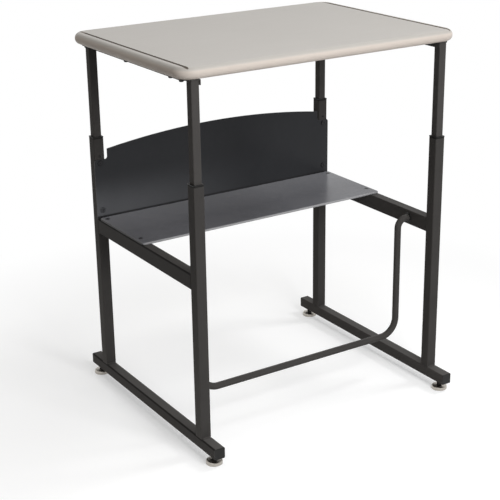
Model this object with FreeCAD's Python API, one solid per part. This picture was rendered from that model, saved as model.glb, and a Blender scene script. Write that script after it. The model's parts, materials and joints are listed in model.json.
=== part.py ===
import FreeCAD, Part
import math
import os

# Height-adjustable standing desk: a four-leg telescoping frame of square steel tube,
# a bullnosed top, a sheet-steel shelf with an arched back panel, and a swinging footrest.
# Millimetres. +X is the user's right, +Y the far side, +Z up.
# The origin is on the floor, midway between the two feet and midway along them.

# Top
desk_height = 863.6
top_width = 711.2
top_depth = 508.0
top_thickness = 25.4
top_corner_radius = 38.0
top_setback = 5.8
bullnose_flat = 0.2
groove_inset = 19.5
groove_width = 7.0
groove_depth = 3.0
groove_rear_margin = 41.0

# Legs
leg_inset_x = 36.8
leg_inset_y = 26.5
lower_side = 25.4
lower_wall = 1.6
lower_corner = 2.6
upper_wall = 1.5
upper_corner = 2.0
upper_insertion = 300.0
leg_above_lock = 44.5

# Collars that guide the upper legs at the mouths of the lower legs
collar_wall = 1.2
collar_depth = 36.0
collar_rim = 1.6
collar_overhang = 0.4

# Sliders that plug the bottom ends of the upper legs
slider_foot = 5.0
slider_plug = 14.0

# Feet, end caps and levelling glides
foot_reach = 69.2
foot_lift = 20.6
cap_face = 2.2
cap_plug = 12.0
cap_edge = 1.0
glide_inset = 25.2
glide_radius = 18.3
glide_rim = 7.6
glide_dome = 1.6
glide_shoulder = 2.4
glide_recess = 2.0
pad_radius = 16.0
pad_height = 2.8
stem_radius = 4.0
stem_hex = 11.0
stem_hex_height = 5.0
stem_headroom = 5.0
glide_nut_hex = 13.0
glide_nut_height = 6.5

# Side rails
rail_lift = 343.0
rail_height = 35.0

# Shelf
shelf_sheet = 2.0
shelf_hem = 5.4
shelf_overhang = 12.7
shelf_depth = 214.2
shelf_corner = 7.0
shelf_rear_gap = 6.0
hem_width = 18.0
hem_flat = 0.2
shelf_screw_front = 35.0
shelf_screw_rear = 16.5
shelf_screw_tip = 3.0

# Back panel
panel_sheet = 1.6
panel_tab_height = 138.4
panel_overhang = 2.0
panel_shoulder_gap = 6.1
panel_shoulder_rise = 24.0
panel_crown_rise = 23.5
panel_notch_radius = 6.0
panel_screw_low = 16.5
panel_screw_high = 130.0

# Footrest
footrest_radius = 7.95
footrest_wall = 1.5
footrest_side_gap = 31.0
footrest_drop = 294.0
footrest_from_leg = 76.5
footrest_top_bend = 22.0
footrest_low_bend = 42.0
footrest_end = 18.0
bush_wall = 1.9
bush_rim = 2.0
bush_rim_height = 2.0
bush_depth = 8.0

# Brackets that carry the top on the upper legs
bracket_sheet = 2.5
bracket_depth = 12.7
bracket_past_leg = 11.0
bracket_margin = 7.2

# Screws
lock_radius = 3.0
lock_stand = 0.8
lock_above_tab = 8.0
lock_key = 3.0
lock_key_depth = 2.0
sheet_screw_radius = 2.1
shelf_screw_head_radius = 6.0
panel_screw_head_radius = 6.5
panel_screw_head_height = 2.6
top_screw_radius = 2.3
top_screw_head_radius = 5.0
top_screw_head_height = 4.6
top_screw_bite = 16.0
top_screw_outset = 17.0
top_screw_first = 14.5
top_screw_second = 57.5
top_screw_middle = 22.0
cross_width = 1.2
cross_reach = 0.55
drive_depth = 1.3

# Clearances
slide_gap = 0.3
fit_gap = 0.1
running_gap = 0.05
drill_over = 0.5

# Derived sizes
lower_bore = lower_side - 2 * lower_wall
upper_side = lower_bore - 2 * (fit_gap + collar_wall + slide_gap)
upper_bore = upper_side - 2 * upper_wall
leg_x = top_width / 2 - leg_inset_x
leg_y = top_depth / 2 - leg_inset_y
foot_length = 2 * (leg_y + foot_reach)
foot_top = foot_lift + lower_side
rail_bottom = foot_top + rail_lift
rail_top = rail_bottom + rail_height
shelf_top = rail_top + shelf_hem
tab_top = shelf_top + panel_tab_height
lock_z = tab_top + lock_above_tab
lower_leg_top = lock_z + leg_above_lock
upper_leg_bottom = lower_leg_top - upper_insertion
top_underside = desk_height - top_thickness
web_bottom = top_underside - bracket_sheet
groove_radius = (groove_width ** 2 / 4 + groove_depth ** 2) / (2 * groove_depth)
rear_leg_front = leg_y - lower_side / 2
rail_inner = leg_x - lower_side / 2
pivot_y = footrest_from_leg - leg_y
pivot_z = rail_bottom + rail_height / 2
panel_front = rear_leg_front - panel_sheet
shelf_rear = panel_front - shelf_rear_gap
shelf_front = shelf_rear - shelf_depth
shelf_half = leg_x + shelf_overhang
glide_y = foot_length / 2 - glide_inset
bush_radius = footrest_radius + running_gap + bush_wall

SIDES = {"left": -1, "right": 1}
ENDS = {"front": -1, "rear": 1}
UP = FreeCAD.Vector(0, 0, 1)
DOWN = FreeCAD.Vector(0, 0, -1)
ARC_MIDDLE = 1 - math.sqrt(0.5)
TINY = 1e-6


def vec(x, y, z):
    return FreeCAD.Vector(x, y, z)


def block(x0, x1, y0, y1, z0, z1):
    return Part.makeBox(x1 - x0, y1 - y0, z1 - z0, vec(x0, y0, z0))


def cylinder(radius, start, direction, length):
    return Part.makeCylinder(radius, length, start, direction)


def arc(start, middle, end):
    return Part.Arc(start, middle, end).toShape()


def rounded_face(width, height, radius):
    """A width by height face in the XY plane, centred on the origin, with round corners."""
    x = width / 2
    y = height / 2
    r = radius
    cut = r * ARC_MIDDLE
    edges = [
        Part.makeLine(vec(r - x, -y, 0), vec(x - r, -y, 0)),
        arc(vec(x - r, -y, 0), vec(x - cut, cut - y, 0), vec(x, r - y, 0)),
        Part.makeLine(vec(x, r - y, 0), vec(x, y - r, 0)),
        arc(vec(x, y - r, 0), vec(x - cut, y - cut, 0), vec(x - r, y, 0)),
        Part.makeLine(vec(x - r, y, 0), vec(r - x, y, 0)),
        arc(vec(r - x, y, 0), vec(cut - x, y - cut, 0), vec(-x, y - r, 0)),
        Part.makeLine(vec(-x, y - r, 0), vec(-x, r - y, 0)),
        arc(vec(-x, r - y, 0), vec(cut - x, cut - y, 0), vec(r - x, -y, 0)),
    ]
    return Part.Face(Part.Wire(edges))


def bar(width, height, radius, length):
    """A rounded rectangular bar that stands on the origin along +Z."""
    return rounded_face(width, height, radius).extrude(vec(0, 0, length))


def tube(width, height, wall, radius, length):
    """A rectangular tube that stands on the origin along +Z."""
    bore = bar(width - 2 * wall, height - 2 * wall, radius - wall, length)
    return bar(width, height, radius, length).cut(bore)


def along_y(shape, start):
    """Lay a shape that stands along +Z down along +Y, from a start point."""
    laid = shape.copy()
    laid.rotate(vec(0, 0, 0), vec(1, 0, 0), -90)
    laid.translate(start)
    return laid


def moved(shape, x, y, z):
    copy = shape.copy()
    copy.translate(vec(x, y, z))
    return copy


def hexagon(across_flats, height, z):
    """A hexagonal prism round the Z axis."""
    radius = across_flats / math.sqrt(3)
    turns = [k * math.pi / 3 for k in range(7)]
    corners = [vec(radius * math.cos(t), radius * math.sin(t), z) for t in turns]
    return Part.Face(Part.makePolygon(corners)).extrude(vec(0, 0, height))


def revolved(points):
    """A solid turned about the Z axis from (radius, height) corners."""
    wire = Part.makePolygon([vec(r, 0, z) for r, z in points + points[:1]])
    return Part.Face(wire).revolve(vec(0, 0, 0), vec(0, 0, 1), 360)


def cross_drive(head_radius):
    """The shape of a cross recess, standing on the origin."""
    arm = cross_reach * head_radius
    half = cross_width / 2
    slot = block(-arm, arm, -half, half, 0, drive_depth)
    return slot.fuse(block(-half, half, -arm, arm, 0, drive_depth))


def pan_screw(head_radius, head_height, radius, reach):
    """A domed-head screw on the origin: the head upwards with its cross recess, the shank downwards."""
    head = cylinder(head_radius, vec(0, 0, 0), UP, head_height)
    crown = [e for e in head.Edges if e.BoundBox.ZMin > head_height - TINY]
    head = head.makeFillet(head_height / 2, crown)
    head = head.cut(moved(cross_drive(head_radius), 0, 0, head_height - drive_depth))
    return head.fuse(cylinder(radius, vec(0, 0, 0), DOWN, reach)).removeSplitter()


def seated(screw, seat, direction):
    """Carry a screw from the origin to its seat, with its head towards a direction."""
    copy = screw.copy()
    copy.Placement = FreeCAD.Placement(seat, FreeCAD.Rotation(UP, direction))
    return copy


def countersunk(reach, gap):
    """A flat-headed shelf screw hanging from the origin or, with a gap around it, the hole it sits in."""
    head = shelf_screw_head_radius + gap
    shank = sheet_screw_radius + gap
    cone = Part.makeCone(head, shank, head - shank, vec(0, 0, 0), DOWN)
    return cone.fuse(cylinder(shank, vec(0, 0, 0), DOWN, reach)).removeSplitter()


def desktop():
    """The top: a bullnosed slab with a pencil groove along each side."""
    slab = moved(bar(top_width, top_depth, top_corner_radius, top_thickness), 0, top_setback, top_underside)
    bullnose = (top_thickness - bullnose_flat) / 2
    rims = [e for e in slab.Edges if e.BoundBox.ZLength < TINY]
    slab = slab.makeFillet(bullnose, rims)
    groove_end = top_setback + top_depth / 2 - groove_rear_margin
    groove_z = desk_height - groove_depth + groove_radius
    for side in SIDES.values():
        start = vec(side * (top_width / 2 - groove_inset), groove_end, groove_z)
        groove = cylinder(groove_radius, start, vec(0, -1, 0), top_depth)
        slab = slab.cut(groove.fuse(Part.makeSphere(groove_radius, start)))
    pilot = top_screw_bite + drill_over
    for x, y in top_screw_points():
        slab = slab.cut(cylinder(top_screw_radius + running_gap, vec(x, y, top_underside), UP, pilot))
    return slab


def top_screw_points():
    """Where the top is screwed down, on the flange outside the legs."""
    rows = (top_screw_first - leg_y, top_screw_second - leg_y, top_screw_middle, leg_y - top_screw_first)
    return [(side * (leg_x + top_screw_outset), y) for side in SIDES.values() for y in rows]


def top_screws():
    reach = bracket_sheet + top_screw_bite
    screw = pan_screw(top_screw_head_radius, top_screw_head_height, top_screw_radius, reach)
    return Part.makeCompound([seated(screw, vec(x, y, web_bottom), DOWN) for x, y in top_screw_points()])


def top_bracket(side):
    """Folded angle: a flange under the top over both legs, and a lip down their inward faces."""
    lip = leg_x - upper_side / 2 - slide_gap
    heel = lip - bracket_sheet
    over_leg = leg_x + upper_side / 2
    toe = leg_x + top_screw_outset + bracket_margin
    end = leg_y + bracket_past_leg
    toe_end = leg_y - top_screw_first + bracket_margin
    plan = [(heel, -end), (over_leg, -end), (toe, -toe_end), (toe, toe_end), (over_leg, end), (heel, end)]
    outline = Part.makePolygon([vec(x, y, web_bottom) for x, y in plan + plan[:1]])
    flange = Part.Face(outline).extrude(UP * bracket_sheet)
    lip_plate = block(heel, lip, -end, end, top_underside - bracket_depth, top_underside)
    angle = flange.fuse(lip_plate).removeSplitter()
    for x, z, radius in ((heel, top_underside, bracket_sheet + slide_gap), (lip, web_bottom, slide_gap)):
        fold = [e for e in angle.Edges if (e.CenterOfMass - vec(x, 0, z)).Length < TINY]
        angle = angle.makeFillet(radius, fold)
    if side < 0:
        angle = angle.mirror(vec(0, 0, 0), vec(1, 0, 0))
    for x, y in top_screw_points():
        angle = angle.cut(cylinder(top_screw_radius + running_gap, vec(x, y, web_bottom), UP, bracket_sheet))
    return angle


def upper_leg(side, end):
    leg = tube(upper_side, upper_side, upper_wall, upper_corner, web_bottom - upper_leg_bottom)
    return moved(leg, side * leg_x, end * leg_y, upper_leg_bottom)


def leg_slider(side, end):
    """Plastic plug in the bottom of an upper leg; its wider foot runs inside the lower leg."""
    foot = lower_bore - 2 * slide_gap
    plug = upper_bore - 2 * fit_gap
    slider = moved(bar(foot, foot, lower_corner - lower_wall, slider_foot), 0, 0, -slider_foot)
    slider = slider.fuse(bar(plug, plug, upper_corner - upper_wall, slider_plug)).removeSplitter()
    return moved(slider, side * leg_x, end * leg_y, upper_leg_bottom)


def lower_leg(side, end):
    """Lower leg tube, drilled on its inward face for the lock screw and, at the rear, the panel."""
    leg = moved(tube(lower_side, lower_side, lower_wall, lower_corner, lower_leg_top - foot_top),
                side * leg_x, end * leg_y, foot_top)
    face_y = end * (leg_y - lower_side / 2)
    outward = vec(0, end, 0)
    drill = lower_wall + drill_over
    leg = leg.cut(cylinder(lock_radius + running_gap, vec(side * leg_x, face_y, lock_z), outward, drill))
    if end > 0:
        for z in panel_screw_heights():
            at = vec(side * leg_x, face_y, z)
            leg = leg.cut(cylinder(sheet_screw_radius + running_gap, at, outward, drill))
    return leg


def leg_collar(side, end):
    """Plastic guide pressed into the mouth of a lower leg, with a thin rim on the tube's end."""
    rim = lower_side + 2 * collar_overhang
    sleeve = lower_bore - 2 * fit_gap
    way = upper_side + 2 * slide_gap
    collar = bar(sleeve, sleeve, lower_corner - lower_wall, collar_depth)
    collar = collar.fuse(moved(bar(rim, rim, lower_corner, collar_rim), 0, 0, collar_depth))
    collar = collar.cut(bar(way, way, upper_corner, collar_depth + collar_rim))
    return moved(collar.removeSplitter(), side * leg_x, end * leg_y, lower_leg_top - collar_depth)


def lock_screw(side, end):
    """Socket set screw in the inward face of a lower leg; its tip stops just short of the upper leg."""
    reach = (lower_side - upper_side) / 2 - slide_gap
    screw = cylinder(lock_radius, vec(0, 0, -reach), UP, reach + lock_stand)
    screw = screw.cut(hexagon(lock_key, lock_key_depth, lock_stand - lock_key_depth))
    seat = vec(side * leg_x, end * (leg_y - lower_side / 2), lock_z)
    return seated(screw, seat, vec(0, -end, 0))


def foot(side):
    """Foot tube, drilled underneath for the two glide stems."""
    length = foot_length - 2 * cap_face
    centre_z = foot_lift + lower_side / 2
    beam = tube(lower_side, lower_side, lower_wall, lower_corner, length)
    beam = along_y(beam, vec(side * leg_x, -length / 2, centre_z))
    for end in ENDS.values():
        at = vec(side * leg_x, end * glide_y, foot_lift)
        beam = beam.cut(cylinder(stem_radius + slide_gap, at, UP, lower_wall + drill_over))
    return beam


def foot_cap(side, end):
    """Plastic plug in an open end of a foot tube."""
    face = bar(lower_side, lower_side, lower_corner, cap_face)
    outer_rim = [e for e in face.Edges if e.BoundBox.ZMin > cap_face - TINY]
    face = face.makeFillet(cap_edge, outer_rim)
    plug = lower_bore - 2 * fit_gap
    cap = face.fuse(moved(bar(plug, plug, lower_corner - lower_wall, cap_plug), 0, 0, -cap_plug))
    cap = cap.removeSplitter()
    if end < 0:
        cap.rotate(vec(0, 0, 0), vec(1, 0, 0), 180)
    return along_y(cap, vec(side * leg_x, end * (foot_length / 2 - cap_face), foot_lift + lower_side / 2))


def glide_nuts():
    """Nuts welded inside the foot tubes over the glide holes."""
    nut = hexagon(glide_nut_hex, glide_nut_height, 0)
    nut = nut.cut(cylinder(stem_radius + running_gap, vec(0, 0, 0), UP, glide_nut_height))
    seat = foot_lift + lower_wall
    return Part.makeCompound([moved(nut, side * leg_x, end * glide_y, seat)
                              for side in SIDES.values() for end in ENDS.values()])


def glide_cup(side, end):
    """Domed metal foot of a glide, hollow underneath for its pad."""
    bottom = pad_height - glide_recess
    top = bottom + glide_rim
    peak = top + glide_dome
    neck = stem_radius + running_gap
    recess = pad_radius + slide_gap
    profile = [(neck, pad_height), (recess, pad_height), (recess, bottom), (glide_radius, bottom),
               (glide_radius, top), (stem_hex / 2, peak), (neck, peak)]
    cup = revolved(profile)
    shoulder = [e for e in cup.Edges if abs(e.BoundBox.ZMin - top) < TINY and e.BoundBox.ZLength < TINY]
    return moved(cup.makeFillet(glide_shoulder, shoulder), side * leg_x, end * glide_y, 0)


def glide_pad(side, end):
    return cylinder(pad_radius, vec(side * leg_x, end * glide_y, 0), UP, pad_height)


def glide_stem(side, end):
    """Threaded stem of a glide with its wrench hexagon, reaching up into the foot tube."""
    hex_bottom = pad_height - glide_recess + glide_rim + glide_dome
    stem_top = foot_top - lower_wall - stem_headroom
    stem = cylinder(stem_radius, vec(0, 0, pad_height), UP, stem_top - pad_height)
    stem = stem.fuse(hexagon(stem_hex, stem_hex_height, hex_bottom)).removeSplitter()
    return moved(stem, side * leg_x, end * glide_y, 0)


def side_rail(side):
    """Side rail between two lower legs, with the footrest's bush hole in its inward wall."""
    length = 2 * leg_y - lower_side
    rail = along_y(tube(lower_side, rail_height, lower_wall, lower_corner, length),
                   vec(side * leg_x, -length / 2, pivot_z))
    bush_seat = vec(side * rail_inner, pivot_y, pivot_z)
    drill = lower_wall + drill_over
    rail = rail.cut(cylinder(bush_radius + fit_gap, bush_seat, vec(side, 0, 0), drill))
    for x, y in shelf_screw_points():
        rail = rail.cut(cylinder(sheet_screw_radius + running_gap, vec(x, y, rail_top), DOWN, drill))
    return rail


def footrest_bush(side):
    """Flanged plastic bush in a side rail that the footrest turns in."""
    inward = vec(-side, 0, 0)
    outward = vec(side, 0, 0)
    seat = vec(side * rail_inner, pivot_y, pivot_z)
    bush = cylinder(bush_radius + bush_rim, seat, inward, bush_rim_height)
    bush = bush.fuse(cylinder(bush_radius, seat, outward, bush_depth))
    mouth = seat + inward * bush_rim_height
    bush = bush.cut(cylinder(footrest_radius + running_gap, mouth, outward, bush_rim_height + bush_depth))
    return bush.removeSplitter()


def footrest_route():
    """Centre line of the footrest, from one rail down, across and up into the other."""
    arm = rail_inner - footrest_side_gap
    tip = rail_inner + footrest_end
    bar_z = pivot_z - footrest_drop
    up = footrest_top_bend
    low = footrest_low_bend
    up_cut = up * ARC_MIDDLE
    low_cut = low * ARC_MIDDLE

    def at(x, z):
        return vec(x, pivot_y, z)

    def half(side):
        x = side * arm
        return [
            Part.makeLine(at(side * tip, pivot_z), at(x + side * up, pivot_z)),
            arc(at(x + side * up, pivot_z), at(x + side * up_cut, pivot_z - up_cut), at(x, pivot_z - up)),
            Part.makeLine(at(x, pivot_z - up), at(x, bar_z + low)),
            arc(at(x, bar_z + low), at(x - side * low_cut, bar_z + low_cut), at(x - side * low, bar_z)),
        ]

    cross = Part.makeLine(at(low - arm, bar_z), at(arm - low, bar_z))
    return Part.Wire(Part.__sortEdges__(half(-1) + [cross] + half(1)))


def footrest_bar():
    """One bent round tube whose ends turn in the bushes of the side rails."""
    route = footrest_route()
    start = vec(-rail_inner - footrest_end, pivot_y, pivot_z)

    def swept(radius):
        ring = Part.Wire(Part.makeCircle(radius, start, vec(1, 0, 0)))
        return route.makePipeShell([ring], True, False)

    return swept(footrest_radius).cut(swept(footrest_radius - footrest_wall))


def shelf_screw_points():
    rows = (shelf_front + shelf_screw_front, shelf_rear - shelf_screw_rear)
    return [(side * leg_x, y) for side in SIDES.values() for y in rows]


def shelf():
    """Sheet shelf whose four edges are folded under into a round-nosed hem."""
    plate = bar(2 * shelf_half, shelf_depth, shelf_corner, shelf_hem)
    plate = moved(plate, 0, (shelf_front + shelf_rear) / 2, rail_top)
    rims = [e for e in plate.Edges if e.BoundBox.ZLength < TINY]
    plate = plate.makeFillet((shelf_hem - hem_flat) / 2, rims)
    inner = shelf_half - hem_width
    under = block(-inner, inner, shelf_front + hem_width, shelf_rear - hem_width,
                  rail_top, shelf_top - shelf_sheet)
    plate = plate.cut(under)
    hole = countersunk(shelf_hem, running_gap)
    for x, y in shelf_screw_points():
        plate = plate.cut(moved(hole, x, y, shelf_top))
    return plate


def shelf_screws():
    screw = countersunk(shelf_hem + lower_wall + shelf_screw_tip, 0)
    screw = screw.cut(moved(cross_drive(shelf_screw_head_radius), 0, 0, -drive_depth))
    return Part.makeCompound([moved(screw, x, y, shelf_top) for x, y in shelf_screw_points()])


def panel_screw_heights():
    return (shelf_top + panel_screw_low, shelf_top + panel_screw_high)


def panel_outline():
    """Front view of the back panel: an arch between two shoulders, and a tab over each rear leg."""
    tab = leg_x + lower_side / 2 + panel_overhang
    shoulder = rail_inner - panel_shoulder_gap
    shoulder_z = tab_top + panel_shoulder_rise
    notch = panel_notch_radius
    cut = notch * ARC_MIDDLE

    def at(x, z):
        return vec(x, panel_front, z)

    edges = [Part.makeLine(at(-tab, rail_top), at(tab, rail_top))]
    for side in SIDES.values():
        edges += [
            Part.makeLine(at(side * tab, rail_top), at(side * tab, tab_top - notch)),
            arc(at(side * tab, tab_top - notch), at(side * (tab - cut), tab_top - cut),
                at(side * (tab - notch), tab_top)),
            Part.makeLine(at(side * (tab - notch), tab_top), at(side * (shoulder + notch), tab_top)),
            arc(at(side * (shoulder + notch), tab_top), at(side * (shoulder + cut), tab_top + cut),
                at(side * shoulder, tab_top + notch)),
            Part.makeLine(at(side * shoulder, tab_top + notch), at(side * shoulder, shoulder_z)),
        ]
    crown = at(0, shoulder_z + panel_crown_rise)
    edges.append(arc(at(shoulder, shoulder_z), crown, at(-shoulder, shoulder_z)))
    return Part.Face(Part.Wire(Part.__sortEdges__(edges)))


def back_panel():
    panel = panel_outline().extrude(vec(0, panel_sheet, 0))
    for side in SIDES.values():
        for z in panel_screw_heights():
            at = vec(side * leg_x, panel_front, z)
            panel = panel.cut(cylinder(sheet_screw_radius + running_gap, at, vec(0, 1, 0), panel_sheet))
    return panel


def panel_screws():
    """Short screws that end flush with the inside of the rear legs, where the sliders pass."""
    reach = panel_sheet + lower_wall
    screw = pan_screw(panel_screw_head_radius, panel_screw_head_height, sheet_screw_radius, reach)
    return Part.makeCompound([seated(screw, vec(side * leg_x, panel_front, z), vec(0, -1, 0))
                              for side in SIDES.values() for z in panel_screw_heights()])


def build():
    """Every piece of the desk under its own name."""
    pieces = {
        "desktop": desktop(),
        "top_screws": top_screws(),
        "shelf": shelf(),
        "shelf_screws": shelf_screws(),
        "back_panel": back_panel(),
        "panel_screws": panel_screws(),
        "footrest_bar": footrest_bar(),
        "glide_nuts": glide_nuts(),
    }
    for side_name, side in SIDES.items():
        pieces["top_bracket_" + side_name] = top_bracket(side)
        pieces["foot_" + side_name] = foot(side)
        pieces["side_rail_" + side_name] = side_rail(side)
        pieces["footrest_bush_" + side_name] = footrest_bush(side)
        for end_name, end in ENDS.items():
            corner = end_name + "_" + side_name
            pieces["upper_leg_" + corner] = upper_leg(side, end)
            pieces["leg_slider_" + corner] = leg_slider(side, end)
            pieces["lower_leg_" + corner] = lower_leg(side, end)
            pieces["leg_collar_" + corner] = leg_collar(side, end)
            pieces["lock_screw_" + corner] = lock_screw(side, end)
            pieces["foot_cap_" + corner] = foot_cap(side, end)
            pieces["glide_cup_" + corner] = glide_cup(side, end)
            pieces["glide_pad_" + corner] = glide_pad(side, end)
            pieces["glide_stem_" + corner] = glide_stem(side, end)
    return pieces


os.makedirs("parts", exist_ok=True)
for name, shape in build().items():
    shape.exportStep("parts/" + name + ".step")
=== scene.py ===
import json
import math

import bmesh
import bpy
from mathutils import Matrix, Vector


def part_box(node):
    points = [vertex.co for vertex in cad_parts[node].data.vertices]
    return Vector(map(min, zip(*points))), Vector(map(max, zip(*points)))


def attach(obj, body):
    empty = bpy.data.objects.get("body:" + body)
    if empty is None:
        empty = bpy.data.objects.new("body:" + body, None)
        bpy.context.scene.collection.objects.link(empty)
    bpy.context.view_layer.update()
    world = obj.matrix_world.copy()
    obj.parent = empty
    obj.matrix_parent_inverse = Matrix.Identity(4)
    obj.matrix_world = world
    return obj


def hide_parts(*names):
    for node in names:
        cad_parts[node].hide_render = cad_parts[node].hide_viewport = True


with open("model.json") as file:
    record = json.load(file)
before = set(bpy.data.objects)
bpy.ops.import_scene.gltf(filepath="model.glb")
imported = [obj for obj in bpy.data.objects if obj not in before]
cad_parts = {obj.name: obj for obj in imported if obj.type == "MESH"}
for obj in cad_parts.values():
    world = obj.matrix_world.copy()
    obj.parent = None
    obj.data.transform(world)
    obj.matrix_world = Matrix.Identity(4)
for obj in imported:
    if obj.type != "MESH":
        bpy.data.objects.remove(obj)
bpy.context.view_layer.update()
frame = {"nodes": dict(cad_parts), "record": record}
nodes = frame["nodes"]

SIDES = ("left", "right")
CORNERS = [end + "_" + side for side in SIDES for end in ("front", "rear")]
X, Y, Z = Vector((1, 0, 0)), Vector((0, 1, 0)), Vector((0, 0, 1))

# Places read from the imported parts, metres
top_low, top_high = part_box("desktop")
shelf_low, shelf_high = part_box("shelf")
rail_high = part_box("side_rail_right")[1]
foot_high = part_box("foot_right")[1]
mouth_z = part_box("lower_leg_front_right")[1].z

# Marks on the surfaces fade in from nothing at START to their whole strength at FULL

# Top: the nose's colour, and the backer's on the underside
NOSE_START = top_high.z - 0.0020
NOSE_FULL = top_high.z - 0.0090
BACKER_START = top_low.z + 0.0012
BACKER_FULL = top_low.z + 0.0002

# Top: a painted shade line round the rim, where the flat turns into the nose, to dim its highlight; fainter
# away from the front
RIM_TOP = top_high.z - 0.0002
RIM_HIGH = top_high.z - 0.0016
RIM_LOW = top_high.z - 0.0032
RIM_END = top_high.z - 0.0080
RIM_FRONT = top_low.y + 0.020
RIM_SIDE = top_low.y + 0.060
RIM_FAINT = 0.25
RIM_STRONG = 0.8

# Pencil grooves in the top, round in section; their dark colour ends just above the groove's skin
GROOVE_X = 0.3361
GROOVE_WIDTH = 0.0070
GROOVE_DEPTH = 0.0030
GROOVE_RADIUS = (GROOVE_WIDTH ** 2 / 4 + GROOVE_DEPTH ** 2) / (2 * GROOVE_DEPTH)
GROOVE_Z = top_high.z - GROOVE_DEPTH + GROOVE_RADIUS
GROOVE_START = GROOVE_RADIUS + 0.0003
GROOVE_FULL = GROOVE_RADIUS + 0.0001

# Shelf: painted shade low on its hem and taller on its end faces, which are painted darker as in shade, and
# a painted highlight line along its front
HEM_SHADE_START = shelf_low.z + 0.0038
HEM_SHADE_FULL = shelf_low.z + 0.0014
HEM_SHADE_STRENGTH = 0.85
END_START = shelf_high.x - 0.0012
END_FULL = shelf_high.x - 0.0006
END_SHADE_START = shelf_low.z + 0.0044
END_SHADE_FULL = shelf_low.z + 0.0028
FRONT_HIGHLIGHT_START = shelf_low.y + 0.0026
FRONT_HIGHLIGHT_FULL = shelf_low.y + 0.0014

# Painted sheen on the frame's level faces and towards the back of the shelf, and where it starts on the
# shelf
SHEEN_STRENGTH = 0.6
SHELF_SHEEN_START = shelf_low.y + 0.080
SHELF_SHEEN_FULL = shelf_high.y

# Panel: a painted reflection low on its front, most at the left, and a painted shade line just above the
# shelf
PANEL_REFLECTION_START = shelf_high.z + 0.110
PANEL_REFLECTION_FULL = shelf_high.z + 0.010
PANEL_REFLECTION_RIGHT = 0.10
PANEL_REFLECTION_LEFT = shelf_low.x
PANEL_REFLECTION_ON_SCREWS = 0.65
PANEL_SHADE_START = shelf_high.z + 0.0030
PANEL_SHADE_FULL = shelf_high.z + 0.0012

# Rails and feet: a painted shade line along the outer top edge, by the distance from it
EDGE_SHADE_START = 0.0044
EDGE_SHADE_FULL = 0.0016

# Lower legs: a dark line round the mouth, and painted light from the floor low on the outer faces
MOUTH_START = mouth_z - 0.0036
MOUTH_FULL = mouth_z - 0.0020
LEG_BOUNCE_START = 0.40
LEG_BOUNCE_FULL = 0.17

# Faces by the cosine between their normal and a direction: level ones, and those that look one way
LEVEL_START = 0.90
LEVEL_FULL = 0.99
FACE_START = 0.4
FACE_FULL = 0.8

# Wear along edges: its strength, and the cosine between plain and rounded normals
WEAR = 0.6
COLLAR_WEAR = 0.1
EDGE_START = 0.995
EDGE_FULL = 0.85

# Frame: how light the paint of some pieces is beside the rest, as painted light and shade on copies of the
# one paint
RAIL_TONE = 0.80
LOWER_LEG_TONE = 0.85
FOOTREST_TONE = 0.92
UPPER_LEG_TONE = 1.05

# Colours, linear; a pair is the darkest and the lightest of a clouded surface
LAMINATE = ((0.470, 0.450, 0.424), (0.524, 0.504, 0.477))
LAMINATE_SPECK = (0.350, 0.330, 0.305)
LAMINATE_CLOUD = (0.425, 0.410, 0.388)
NOSE = ((0.512, 0.456, 0.409), (0.562, 0.506, 0.457))
RIM = (0.395, 0.374, 0.346)
BACKER = (0.215, 0.170, 0.128)
GROOVE = (0.150, 0.125, 0.102)
FRAME = ((0.0495, 0.0468, 0.0450), (0.0645, 0.0610, 0.0586))
FRAME_WORN = (0.140, 0.134, 0.128)
FRAME_SHEEN = (0.105, 0.101, 0.098)
FRAME_LINE = (0.018, 0.0173, 0.0166)
LEG_BOUNCE_LIGHT = (0.072, 0.069, 0.0662)
PANEL = ((0.025, 0.0257, 0.0280), (0.033, 0.0340, 0.0370))
PANEL_REFLECTION = (0.0955, 0.0975, 0.1037)
PANEL_SHADE_LINE = (0.024, 0.024, 0.0255)
# The shelf's copy of the sheet paint is painted lighter than the panel's, as painted light against the top's
# shade
SHELF = ((0.122, 0.124, 0.136), (0.156, 0.158, 0.173))
SHELF_SHEEN = (0.290, 0.293, 0.312)
SHELF_HEM_SHADE = (0.030, 0.030, 0.032)
SHELF_FRONT_HIGHLIGHT = (0.30, 0.30, 0.31)
SHELF_END_SHADE = (0.070, 0.068, 0.067)
SHELF_END_LOW_SHADE = (0.006, 0.006, 0.006)
SHEET_WORN = (0.16, 0.16, 0.165)
PLASTIC = ((0.0085, 0.0083, 0.0081), (0.0140, 0.0136, 0.0132))
PLASTIC_WORN = (0.140, 0.138, 0.134)
SCREW = ((0.013, 0.013, 0.014), (0.026, 0.025, 0.024))
SHELF_SCREW = ((0.038, 0.038, 0.041), (0.054, 0.054, 0.058))
PANEL_SCREW = ((0.020, 0.020, 0.022), (0.032, 0.032, 0.035))
SCREW_WORN = (0.22, 0.21, 0.20)
ZINC = ((0.46, 0.47, 0.48), (0.62, 0.61, 0.58))
NICKEL = ((0.40, 0.372, 0.335), (0.52, 0.490, 0.445))
NYLON = (0.56, 0.54, 0.48)
NYLON_SOILED = (0.30, 0.28, 0.25)

# Levelling stems: an M8 thread over a wrench hexagon; root and crest are shares of half a pitch
STEM_RADIUS = 0.0040
STEM_POINTS = 24
HEX_HEIGHT = 0.0050
HEX_FACE = 0.95
HEX_CHAMFER = math.radians(30)
THREAD_PITCH = 0.00125
THREAD_DEPTH = 0.00065
THREAD_ROOT = 0.08
THREAD_CREST = 0.88
THREAD_STEPS = 8

# Weld beads: legs in the corner, then ripple, hollow face and smaller ends as shares of them
BEAD_SIZE = 0.0030
BEAD_INSET = 0.0030
BEAD_STEP = 0.0004
BEAD_PITCH = 0.0026
BEAD_SINK = 0.0002
BEAD_RIPPLE = 0.06
BEAD_HOLLOW = 0.16
BEAD_END = 0.45
BEAD_POINTS = 6

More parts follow.
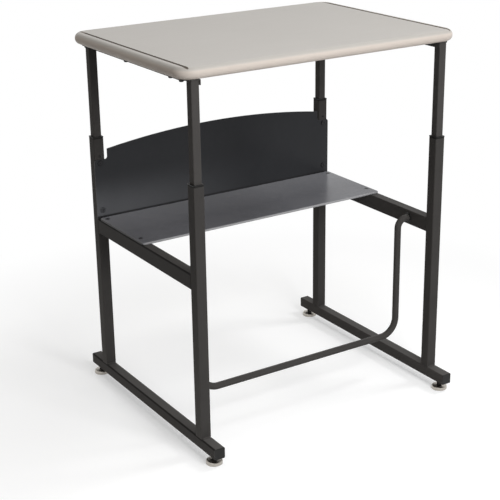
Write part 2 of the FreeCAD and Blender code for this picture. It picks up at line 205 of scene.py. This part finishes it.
# Floor: pale and lit round the desk, plain background further out, where it also bounces less light
FLOOR_HALF = 30.0
FLOOR_NEAR = 0.5
FLOOR_FAR = 1.2
FLOOR_LIFT = 0.37
FLOOR_TINT = (0.983, 1.0, 1.017, 1)
BOUNCE_NEAR = 0.8
BOUNCE_FAR = 1.6
ALBEDO_NEAR = 0.70
ALBEDO_FAR = 0.15

# World: soft fill for the object, weak and warm from the left and behind, and white in the background
FILL_FROM = Vector((0.35, -0.68, 0.64)).normalized()
FILL_AWAY = -0.3
FILL_PLAIN_FROM = 0.3
FILL_WEAK = 0.18
FILL_STRONG = 0.71
FILL_WARM = (1.0, 0.78, 0.50)
FILL_PLAIN = (1.0, 1.0, 1.0)

# Lights: name, place, target, size in metres, power in watts
LIGHTS = (
    ("side", (2.0, -0.6, 3.0), (0.0, 0.0, 0.6), 0.7, 21),
    ("front", (0.0, -2.0, 1.6), (0.0, 0.0, 0.5), 1.0, 35),
    ("rear", (0.0, 2.8, 1.6), (0.0, 0.0, 0.5), 1.0, 16),
)

# Camera, fitted to the photograph's straight edges; angles in radians, focus in pixels, sensor in mm
CAMERA_AT = Vector((-1.5177, -2.3124, 1.3697))
CAMERA_YAW = 0.5667
CAMERA_PITCH = 0.3556
CAMERA_ROLL = -0.0150
CAMERA_FOCUS = 1242.24
IMAGE_WIDTH = 500
SENSOR = 36.0


class Tree:
    """A node tree written as nested calls."""

    def __init__(self, tree):
        self.tree = tree

    def node(self, kind, inputs=None, **settings):
        made = self.tree.nodes.new(kind)
        for key, value in settings.items():
            setattr(made, key, value)
        for key, value in (inputs or {}).items():
            self.feed(made.inputs[key], value)
        return made

    def feed(self, socket, value):
        if isinstance(value, bpy.types.NodeSocket):
            self.tree.links.new(value, socket)
        else:
            socket.default_value = value

    def math(self, operation, a, b=0.0):
        return self.node("ShaderNodeMath", {0: a, 1: b}, operation=operation).outputs[0]

    def vector(self, operation, a, b=None):
        """A vector operation that gives a number."""
        inputs = {0: a} if b is None else {0: a, 1: b}
        return self.node("ShaderNodeVectorMath", inputs, operation=operation).outputs["Value"]

    def span(self, value, low, high, to_low=0.0, to_high=1.0, smooth=False):
        """Carry a value from one range to another, clamped at the ends."""
        inputs = {"Value": value, "From Min": low, "From Max": high, "To Min": to_low, "To Max": to_high}
        kind = "SMOOTHSTEP" if smooth else "LINEAR"
        return self.node("ShaderNodeMapRange", inputs, interpolation_type=kind).outputs["Result"]

    def blend(self, factor, a, b):
        """Colour a where the factor is 0, colour b where it is 1."""
        made = self.node("ShaderNodeMix", data_type="RGBA")
        sockets = [socket for socket in made.inputs if socket.enabled]
        colours = [c if isinstance(c, bpy.types.NodeSocket) else (*c, 1) for c in (a, b)]
        for socket, value in zip(sockets, (factor, *colours)):
            self.feed(socket, value)
        return next(socket for socket in made.outputs if socket.enabled)

    def background_rays(self):
        """1 for the rays that should see the plain background: camera, glossy and transmitted."""
        path = self.node("ShaderNodeLightPath").outputs
        either = self.math("MAXIMUM", path["Is Camera Ray"], path["Is Glossy Ray"])
        return self.math("MAXIMUM", either, path["Is Transmission Ray"])


class Paint(Tree):
    """One material's node tree, on the part's own coordinates in metres."""

    def __init__(self, name):
        self.material = bpy.data.materials.new(name)
        self.material.use_nodes = True
        super().__init__(self.material.node_tree)
        self.shader = self.tree.nodes["Principled BSDF"]
        coordinates = self.node("ShaderNodeTexCoord").outputs
        self.place = coordinates["Object"]
        self.facing = coordinates["Normal"]
        self.x, self.y, self.z = self.node("ShaderNodeSeparateXYZ", {"Vector": self.place}).outputs

    def noise(self, scale, detail=2.0, stretch=(1, 1, 1)):
        """Noise with features about 1 / scale metres across, stretched along the axes."""
        where = self.node("ShaderNodeMapping", {"Vector": self.place, "Scale": stretch}).outputs[0]
        inputs = {"Vector": where, "Scale": scale, "Detail": detail}
        return self.node("ShaderNodeTexNoise", inputs).outputs["Fac"]

    def bump(self, height, strength, distance):
        inputs = {"Height": height, "Strength": strength, "Distance": distance}
        return self.node("ShaderNodeBump", inputs).outputs["Normal"]

    def fade(self, value, start, full):
        """A soft step from 0 to 1."""
        return self.span(value, start, full, smooth=True)

    def looks(self, direction):
        """The cosine between the surface's normal and a direction."""
        return self.vector("DOT_PRODUCT", self.facing, direction)

    def from_line(self, line_x, line_z):
        """The distance from a line along Y at this place, or from its mirror image on the other side."""
        beside = self.math("SUBTRACT", self.math("ABSOLUTE", self.x), line_x)
        above = self.math("SUBTRACT", self.z, line_z)
        return self.vector("LENGTH", self.node("ShaderNodeCombineXYZ", {"X": beside, "Z": above}).outputs[0])

    def wear(self, radius, patches, low, high, strength=WEAR):
        """Wear along sharp edges, in the patches where a noise lies above a range."""
        rounded = self.node("ShaderNodeBevel", {"Radius": radius}, samples=4).outputs["Normal"]
        plain = self.node("ShaderNodeNewGeometry").outputs["Normal"]
        edges = self.span(self.vector("DOT_PRODUCT", rounded, plain), EDGE_START, EDGE_FULL)
        return self.math("MULTIPLY", edges, self.span(patches, low, high, to_high=strength))

    def finish(self, **sockets):
        for key, value in sockets.items():
            self.feed(self.shader.inputs[key.replace("_", " ")], value)
        return self.material


def rail_marks(m, colour):
    """A painted shade line along the outer top edge of a rail."""
    return m.blend(m.fade(m.from_line(rail_high.x, rail_high.z), EDGE_SHADE_START, EDGE_SHADE_FULL), colour, FRAME_LINE)


def foot_marks(m, colour):
    """A painted shade line along the outer top edge of a foot."""
    return m.blend(m.fade(m.from_line(foot_high.x, foot_high.z), EDGE_SHADE_START, EDGE_SHADE_FULL), colour, FRAME_LINE)


def leg_marks(m, colour):
    """Painted light from the floor low on the outer face of a lower leg, and a dark line round its mouth."""
    # Painted light from the floor, low on the outer faces
    outward = m.math("MULTIPLY", m.looks(X), m.math("SIGN", m.x))
    outer = m.span(outward, FACE_START, FACE_FULL)
    low = m.span(m.z, LEG_BOUNCE_START, LEG_BOUNCE_FULL)
    colour = m.blend(m.math("MULTIPLY", outer, low), colour, LEG_BOUNCE_LIGHT)
    return m.blend(m.fade(m.z, MOUTH_START, MOUTH_FULL), colour, FRAME_LINE)


def frame_paint(name, tone=1.0, marks=None):
    """Fine-textured satin black powder coat, rubbed along its edges, with a painted sheen on level faces,
    then marked.
    """
    m = Paint(name)
    grain = m.noise(1500, 2)
    cloud = m.noise(14, 3)
    darkest, lightest = [[tone * value for value in colour] for colour in FRAME]
    colour = m.blend(cloud, darkest, lightest)
    colour = m.blend(m.wear(0.0015, m.noise(60, 4), 0.45, 0.75), colour, FRAME_WORN)
    # A painted sheen on the level faces
    colour = m.blend(m.span(m.looks(Z), LEVEL_START, LEVEL_FULL, to_high=SHEEN_STRENGTH), colour, FRAME_SHEEN)
    if marks is not None:
        colour = marks(m, colour)
    rough = m.span(m.math("ADD", m.math("MULTIPLY", grain, 0.5), cloud), 0.4, 1.1, 0.36, 0.48)
    return m.finish(Base_Color=colour, Roughness=rough, IOR=1.09, Normal=m.bump(grain, 0.45, 0.00018))


def shelf_marks(m, colour):
    """Painted sheen towards the back, painted shade low on the hem, a painted highlight line along the front
    and ends painted darker as in shade.
    """
    # A painted sheen towards the back of the shelf
    back_sheen = m.span(m.y, SHELF_SHEEN_START, SHELF_SHEEN_FULL, to_high=SHEEN_STRENGTH)
    colour = m.blend(back_sheen, colour, SHELF_SHEEN)
    # Painted shade low on the hem
    hem_shade = m.math("MULTIPLY", m.fade(m.z, HEM_SHADE_START, HEM_SHADE_FULL), HEM_SHADE_STRENGTH)
    colour = m.blend(hem_shade, colour, SHELF_HEM_SHADE)
    # A painted highlight line along the front nose, broken into patches
    patches = m.span(m.noise(5, 4), 0.2, 0.6, 0.75, 1.0)
    front_highlight = m.math("MULTIPLY", m.fade(m.y, FRONT_HIGHLIGHT_START, FRONT_HIGHLIGHT_FULL), patches)
    colour = m.blend(front_highlight, colour, SHELF_FRONT_HIGHLIGHT)
    # The end faces painted darker, darkest low down, as painted shade
    end_colour = m.blend(m.fade(m.z, END_SHADE_START, END_SHADE_FULL), SHELF_END_SHADE, SHELF_END_LOW_SHADE)
    return m.blend(m.span(m.math("ABSOLUTE", m.x), END_START, END_FULL), colour, end_colour)


def panel_reflection_share(m):
    """How strongly the painted reflection lies on the panel and its screws, most low down at the left."""
    return m.math("MULTIPLY", m.fade(m.z, PANEL_REFLECTION_START, PANEL_REFLECTION_FULL), m.span(m.x, PANEL_REFLECTION_RIGHT, PANEL_REFLECTION_LEFT))


def panel_marks(m, colour):
    """A painted reflection low on the front, and a painted shade line where the panel meets the shelf."""
    front = m.span(m.looks(-Y), FACE_START, FACE_FULL)
    colour = m.blend(m.math("MULTIPLY", front, panel_reflection_share(m)), colour, PANEL_REFLECTION)
    # A painted shade line where the panel meets the shelf
    return m.blend(m.fade(m.z, PANEL_SHADE_START, PANEL_SHADE_FULL), colour, PANEL_SHADE_LINE)


def sheet_paint(name, darkest, lightest, index, coat, marks):
    """Smooth semi-gloss charcoal paint on sheet steel, with a faint orange peel, edge wear and marks."""
    m = Paint(name)
    peel = m.noise(260, 1)
    cloud = m.noise(5, 4)
    fine = m.noise(2200, 1)
    colour = m.blend(cloud, darkest, lightest)
    colour = m.blend(m.wear(0.0012, m.noise(45, 4), 0.4, 0.7), colour, SHEET_WORN)
    colour = marks(m, colour)
    rough = m.span(m.math("ADD", cloud, m.math("MULTIPLY", fine, 0.4)), 0.4, 1.0, 0.22, 0.34)
    return m.finish(Base_Color=colour, Roughness=rough, IOR=index, Coat_Weight=coat, Coat_Roughness=0.16,
                    Normal=m.bump(peel, 0.05, 0.0004))


def laminate_top():
    """Grey-beige laminate with a fine grain along the width, a warmer bullnose and dark pencil grooves."""
    m = Paint("laminate_top")
    streak = m.noise(9, 5, (1, 26, 26))
    speck = m.noise(1900, 2)
    cloud = m.noise(4, 3)
    flat = m.blend(streak, *LAMINATE)
    flat = m.blend(m.span(speck, 0.56, 0.72, to_high=0.35), flat, LAMINATE_SPECK)
    flat = m.blend(m.math("MULTIPLY", cloud, 0.18), flat, LAMINATE_CLOUD)
    nose = m.blend(m.noise(30, 4, (1, 1, 5)), *NOSE)
    colour = m.blend(m.fade(m.z, NOSE_START, NOSE_FULL), flat, nose)
    # A painted shade line round the rim, strongest at the front
    rim = m.math("MULTIPLY", m.fade(m.z, RIM_TOP, RIM_HIGH), m.fade(m.z, RIM_END, RIM_LOW))
    rim_shade_strength = m.span(m.y, RIM_SIDE, RIM_FRONT, RIM_FAINT, RIM_STRONG, smooth=True)
    colour = m.blend(m.math("MULTIPLY", rim, rim_shade_strength), colour, RIM)
    colour = m.blend(m.fade(m.z, BACKER_START, BACKER_FULL), colour, BACKER)
    groove = m.fade(m.from_line(GROOVE_X, GROOVE_Z), GROOVE_START, GROOVE_FULL)
    colour = m.blend(groove, colour, GROOVE)
    rough = m.span(m.math("ADD", speck, m.math("MULTIPLY", cloud, 0.6)), 0.5, 1.2, 0.40, 0.52)
    relief = m.math("ADD", speck, m.math("MULTIPLY", streak, 0.6))
    return m.finish(Base_Color=colour, Roughness=rough, IOR=1.28, Normal=m.bump(relief, 0.10, 0.0001))


def black_plastic(name, wear=WEAR):
    """Moulded black plastic with a fine spark-eroded texture, more or less rubbed along its edges."""
    m = Paint(name)
    grain = m.noise(1100, 3)
    cloud = m.noise(40, 2)
    colour = m.blend(cloud, *PLASTIC)
    colour = m.blend(m.wear(0.0010, m.noise(120, 3), 0.35, 0.7, wear), colour, PLASTIC_WORN)
    rough = m.span(grain, 0.3, 0.7, 0.40, 0.54)
    return m.finish(Base_Color=colour, Roughness=rough, IOR=1.33, Normal=m.bump(grain, 0.25, 0.00012))


def panel_screw_marks(m, colour):
    """The panel's painted reflection carried on over its screws."""
    return m.blend(m.math("MULTIPLY", panel_reflection_share(m), PANEL_REFLECTION_ON_SCREWS), colour, PANEL_REFLECTION)


def black_screw(name, darkest, lightest, marks=None):
    """Black screw, worn to steel on its rim and round its drive, then marked."""
    m = Paint(name)
    cloud = m.noise(300, 4)
    colour = m.blend(cloud, darkest, lightest)
    colour = m.blend(m.wear(0.0005, m.noise(500, 3), 0.35, 0.6), colour, SCREW_WORN)
    if marks is not None:
        colour = marks(m, colour)
    rough = m.span(cloud, 0.3, 0.7, 0.34, 0.50)
    return m.finish(Base_Color=colour, Metallic=0.4, Roughness=rough, IOR=1.30,
                    Normal=m.bump(cloud, 0.08, 0.0001))


def zinc_steel():
    """Bright zinc plate."""
    m = Paint("zinc_steel")
    cloud = m.noise(160, 4)
    rough = m.span(cloud, 0.3, 0.7, 0.28, 0.44)
    return m.finish(Base_Color=m.blend(cloud, *ZINC), Metallic=0.95, Roughness=rough,
                    Normal=m.bump(m.noise(1800, 2), 0.10, 0.00008))


def nickel():
    """Satin nickel plate with faint handling marks."""
    m = Paint("nickel")
    cloud = m.noise(90, 4)
    scuff = m.noise(40, 5, (1, 1, 12))
    rough = m.span(m.math("ADD", cloud, m.math("MULTIPLY", scuff, 0.5)), 0.4, 1.1, 0.26, 0.42)
    return m.finish(Base_Color=m.blend(cloud, *NICKEL), Metallic=1.0, Roughness=rough,
                    Normal=m.bump(scuff, 0.06, 0.0001))


def nylon_pad():
    """Natural nylon pad, soiled by the floor."""
    m = Paint("nylon_pad")
    dirt = m.noise(120, 5)
    colour = m.blend(m.span(dirt, 0.45, 0.7), NYLON, NYLON_SOILED)
    rough = m.span(dirt, 0.3, 0.7, 0.45, 0.6)
    return m.finish(Base_Color=colour, Roughness=rough, Subsurface_Weight=0.05,
                    Normal=m.bump(dirt, 0.1, 0.0002))


materials = {
    "laminate_top": laminate_top(),
    "frame_paint": frame_paint("frame_paint"),
    "sheet_paint": sheet_paint("panel_paint", *PANEL, index=1.20, coat=0.0, marks=panel_marks),
    "black_plastic": black_plastic("black_plastic"),
    "black_screw": black_screw("black_screw", *SCREW),
    "zinc_steel": zinc_steel(),
    "nickel": nickel(),
    "nylon_pad": nylon_pad(),
}
# Lighter and darker copies of the frame paint, as painted light and shade
rail_paint = frame_paint("rail_paint", RAIL_TONE, rail_marks)
foot_paint = frame_paint("foot_paint", marks=foot_marks)
upper_leg_paint = frame_paint("upper_leg_paint", UPPER_LEG_TONE)
lower_leg_paint = frame_paint("lower_leg_paint", LOWER_LEG_TONE, leg_marks)
collar_plastic = black_plastic("collar_plastic", COLLAR_WEAR)
own_materials = {
    "shelf": sheet_paint("shelf_paint", *SHELF, index=1.22, coat=0.12, marks=shelf_marks),
    "shelf_screws": black_screw("shelf_screw", *SHELF_SCREW),
    "panel_screws": black_screw("panel_screw", *PANEL_SCREW, marks=panel_screw_marks),
    "footrest_bar": frame_paint("footrest_paint", FOOTREST_TONE),
}
for side in SIDES:
    own_materials["side_rail_" + side] = rail_paint
    own_materials["foot_" + side] = foot_paint
for corner in CORNERS:
    own_materials["upper_leg_" + corner] = upper_leg_paint
    own_materials["lower_leg_" + corner] = lower_leg_paint
    own_materials["leg_collar_" + corner] = collar_plastic
for part in frame["record"]["subparts"]:
    chosen = own_materials.get(part["node"], materials[part["material_slot"]])
    for slot in nodes[part["node"]].material_slots:
        slot.material = chosen


def skin(mesh, rings, smooth=False):
    """Close a row of rings into one skin with a face at each end."""
    loops = [[mesh.verts.new(point) for point in ring] for ring in rings]
    for below, above in zip(loops, loops[1:]):
        for i in range(len(below)):
            face = mesh.faces.new((below[i - 1], below[i], above[i], above[i - 1]))
            face.smooth = smooth
    mesh.faces.new(reversed(loops[0]))
    mesh.faces.new(loops[-1])


def add_piece(name, mesh, slot_name, body, *stands_for):
    """Make a mesh into a piece that rides on a body, in place of the nodes that it stands for."""
    bmesh.ops.recalc_face_normals(mesh, faces=mesh.faces)
    data = bpy.data.meshes.new(name)
    mesh.to_mesh(data)
    mesh.free()
    data.materials.append(materials[slot_name])
    piece = bpy.data.objects.new(name, data)
    bpy.context.scene.collection.objects.link(piece)
    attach(piece, body)
    if stands_for:
        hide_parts(*stands_for)


def make_stem(corner):
    """A levelling stem: plain in the cup, then a chamfered hexagon, then the thread."""
    low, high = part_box("glide_stem_" + corner)
    centre = (low + high) / 2
    hex_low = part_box("glide_cup_" + corner)[1].z
    hex_high = hex_low + HEX_HEIGHT
    apothem = (high.y - low.y) / 2
    face_radius = HEX_FACE * apothem
    turns = [2 * math.pi * i / STEM_POINTS for i in range(STEM_POINTS)]

    def ring(radius, height):
        """A ring whose radius and height follow from the turn."""
        points = []
        for turn in turns:
            x = centre.x + radius(turn) * math.cos(turn)
            y = centre.y + radius(turn) * math.sin(turn)
            points.append((x, y, height(turn)))
        return points

    def even(radius, height):
        return ring(lambda turn: radius, lambda turn: height)

    def hexagon(turn):
        from_flat = (turn % (math.pi / 3)) - math.pi / 6
        return apothem / math.cos(from_flat)

    def chamfer(turn):
        return (hexagon(turn) - face_radius) * math.tan(HEX_CHAMFER)

    def thread(z):
        """The thread's radius at a height; it runs out at the hexagon and at the tip."""
        room = min(z - hex_high, high.z - z)

        def radius(turn):
            phase = (z / THREAD_PITCH - turn / (2 * math.pi)) % 1
            rise = (abs(2 * phase - 1) - THREAD_ROOT) / (THREAD_CREST - THREAD_ROOT)
            flank = THREAD_DEPTH * min(1.0, max(0.0, rise))
            return STEM_RADIUS - THREAD_DEPTH + min(flank, room)
        return radius

    rings = [even(STEM_RADIUS, low.z), even(STEM_RADIUS, hex_low), even(face_radius, hex_low),
             ring(hexagon, lambda turn: hex_low + chamfer(turn)),
             ring(hexagon, lambda turn: hex_high - chamfer(turn)), even(face_radius, hex_high)]
    count = round((high.z - hex_high) / THREAD_PITCH * THREAD_STEPS)
    for i in range(count + 1):
        z = hex_high + (high.z - hex_high) * i / count
        rings.append(ring(thread(z), lambda turn: z))
    mesh = bmesh.new()
    skin(mesh, rings)
    for face in mesh.faces:
        face.smooth = hex_high < face.calc_center_median().z < high.z
    add_piece("threaded_stem_" + corner, mesh, "black_screw", "glide_" + corner, "glide_stem_" + corner)


def add_bead(mesh, start, end, along_a, along_b):
    """A rippled weld in the corner between two faces, which leave the path along the two directions."""
    path = end - start
    count = round(path.length / BEAD_STEP)
    rings = []
    for i in range(count + 1):
        run = path.length * i / count
        taper = min(1.0, min(run, path.length - run) / BEAD_SIZE)
        size = BEAD_SIZE * (BEAD_END + (1 - BEAD_END) * taper)
        size *= 1 + BEAD_RIPPLE * math.sin(2 * math.pi * run / BEAD_PITCH)
        centre = start + path * (i / count)
        ring = [centre - (along_a + along_b) * BEAD_SINK]
        for k in range(BEAD_POINTS):
            turn = math.pi / 2 * k / (BEAD_POINTS - 1)
            reach = size * (1 - BEAD_HOLLOW * math.sin(2 * turn))
            ring.append(centre + (along_a * math.cos(turn) + along_b * math.sin(turn)) * reach)
        rings.append(ring)
    skin(mesh, rings, smooth=True)


def across(low, high, y, z):
    """The two ends of a bead that runs along X between the rounded corners of a tube."""
    return Vector((low.x + BEAD_INSET, y, z)), Vector((high.x - BEAD_INSET, y, z))


def make_beads():
    """Welds of the lower legs to the feet and rails, and of the upper legs to the brackets under the top."""
    base, upper = bmesh.new(), bmesh.new()
    for corner in CORNERS:
        end, side = corner.split("_")
        inward = Y if end == "front" else -Y
        outward = X if side == "right" else -X
        low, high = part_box("lower_leg_" + corner)
        inner_y = high.y if end == "front" else low.y
        add_bead(base, *across(low, high, low.y, low.z), -Y, Z)
        add_bead(base, *across(low, high, high.y, low.z), Y, Z)
        rail_bottom, rail_top = [place.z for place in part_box("side_rail_" + side)]
        add_bead(base, *across(low, high, inner_y, rail_bottom), inward, -Z)
        if end == "front":
            add_bead(base, *across(low, high, inner_y, rail_top), inward, Z)
        low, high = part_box("upper_leg_" + corner)
        inner_y = high.y if end == "front" else low.y
        outer_x = high.x if side == "right" else low.x
        add_bead(upper, *across(low, high, inner_y, high.z), inward, -Z)
        front_end = Vector((outer_x, low.y + BEAD_INSET, high.z))
        rear_end = Vector((outer_x, high.y - BEAD_INSET, high.z))
        add_bead(upper, front_end, rear_end, outward, -Z)
    add_piece("weld_beads_base", base, "frame_paint", "base_frame")
    add_piece("weld_beads_upper", upper, "frame_paint", "upper_frame")


def make_floor():
    """A floor whose pale lit part near the desk fades into the background."""
    mesh = bpy.data.meshes.new("floor")
    half = FLOOR_HALF
    outline = [(-half, -half, 0), (half, -half, 0), (half, half, 0), (-half, half, 0)]
    mesh.from_pydata(outline, [], [(0, 1, 2, 3)])
    floor = bpy.data.objects.new("floor", mesh)
    bpy.context.scene.collection.objects.link(floor)
    material = bpy.data.materials.new("floor")
    material.use_nodes = True
    material.node_tree.nodes.clear()
    t = Tree(material.node_tree)
    seen = t.background_rays()
    reach = t.vector("LENGTH", t.node("ShaderNodeTexCoord").outputs["Object"])
    albedo = t.span(reach, BOUNCE_NEAR, BOUNCE_FAR, ALBEDO_NEAR, ALBEDO_FAR, smooth=True)
    lit = t.node("ShaderNodeBsdfDiffuse", {"Color": albedo}).outputs[0]
    lift_level = t.math("MULTIPLY", seen, FLOOR_LIFT)
    lift = t.node("ShaderNodeEmission", {"Color": FLOOR_TINT, "Strength": lift_level}).outputs[0]
    near = t.node("ShaderNodeAddShader", {0: lit, 1: lift}).outputs[0]
    plain = t.node("ShaderNodeEmission", {"Strength": 1.0}).outputs[0]
    far = t.math("MULTIPLY", t.span(reach, FLOOR_NEAR, FLOOR_FAR, smooth=True), seen)
    mixed = t.node("ShaderNodeMixShader", {"Fac": far, 1: near, 2: plain}).outputs[0]
    t.node("ShaderNodeOutputMaterial", {"Surface": mixed})
    mesh.materials.append(material)


def make_world():
    """Directional soft fill that lights the object, behind a white background."""
    world = bpy.data.worlds.new("studio")
    world.use_nodes = True
    world.node_tree.nodes.clear()
    t = Tree(world.node_tree)
    towards = t.vector("DOT_PRODUCT", t.node("ShaderNodeTexCoord").outputs["Generated"], FILL_FROM)
    level = t.span(towards, FILL_AWAY, 1.0, FILL_WEAK, FILL_STRONG)
    colour = t.blend(t.span(towards, FILL_AWAY, FILL_PLAIN_FROM), FILL_WARM, FILL_PLAIN)
    fill = t.node("ShaderNodeBackground", {"Color": colour, "Strength": level}).outputs[0]
    white = t.node("ShaderNodeBackground", {"Color": (1, 1, 1, 1)}).outputs[0]
    mixed = t.node("ShaderNodeMixShader", {"Fac": t.background_rays(), 1: fill, 2: white}).outputs[0]
    t.node("ShaderNodeOutputWorld", {"Surface": mixed})
    bpy.context.scene.world = world


def make_light(name, at, target, size, power):
    """A square soft box that faces a target point; gloss mirrors the white surroundings, not the box."""
    data = bpy.data.lights.new(name, "AREA")
    data.shape = "SQUARE"
    data.size = size
    data.energy = power
    light = bpy.data.objects.new(name, data)
    light.visible_glossy = False
    light.location = at
    light.rotation_mode = "QUATERNION"
    light.rotation_quaternion = (Vector(target) - Vector(at)).to_track_quat("-Z", "Y")
    bpy.context.scene.collection.objects.link(light)


def make_camera():
    """Camera axes from yaw (towards +X), pitch (down) and roll."""
    ahead = X * math.sin(CAMERA_YAW) + Y * math.cos(CAMERA_YAW)
    right = X * math.cos(CAMERA_YAW) - Y * math.sin(CAMERA_YAW)
    forward = ahead * math.cos(CAMERA_PITCH) - Z * math.sin(CAMERA_PITCH)
    raised = Z * math.cos(CAMERA_PITCH) + ahead * math.sin(CAMERA_PITCH)
    side = right * math.cos(CAMERA_ROLL) + raised * math.sin(CAMERA_ROLL)
    over = raised * math.cos(CAMERA_ROLL) - right * math.sin(CAMERA_ROLL)
    data = bpy.data.cameras.new("camera")
    data.sensor_fit = "HORIZONTAL"
    data.sensor_width = SENSOR
    data.lens = CAMERA_FOCUS / IMAGE_WIDTH * SENSOR
    camera = bpy.data.objects.new("camera", data)
    turn = Matrix((side, over, -forward)).transposed()
    camera.rotation_mode = "QUATERNION"
    camera.rotation_quaternion = turn.to_quaternion()
    camera.location = CAMERA_AT
    bpy.context.scene.collection.objects.link(camera)
    bpy.context.scene.camera = camera


for corner in CORNERS:
    make_stem(corner)
make_beads()
make_floor()
make_world()
for light in LIGHTS:
    make_light(*light)
make_camera()
bpy.context.scene.view_settings.view_transform = "Standard"
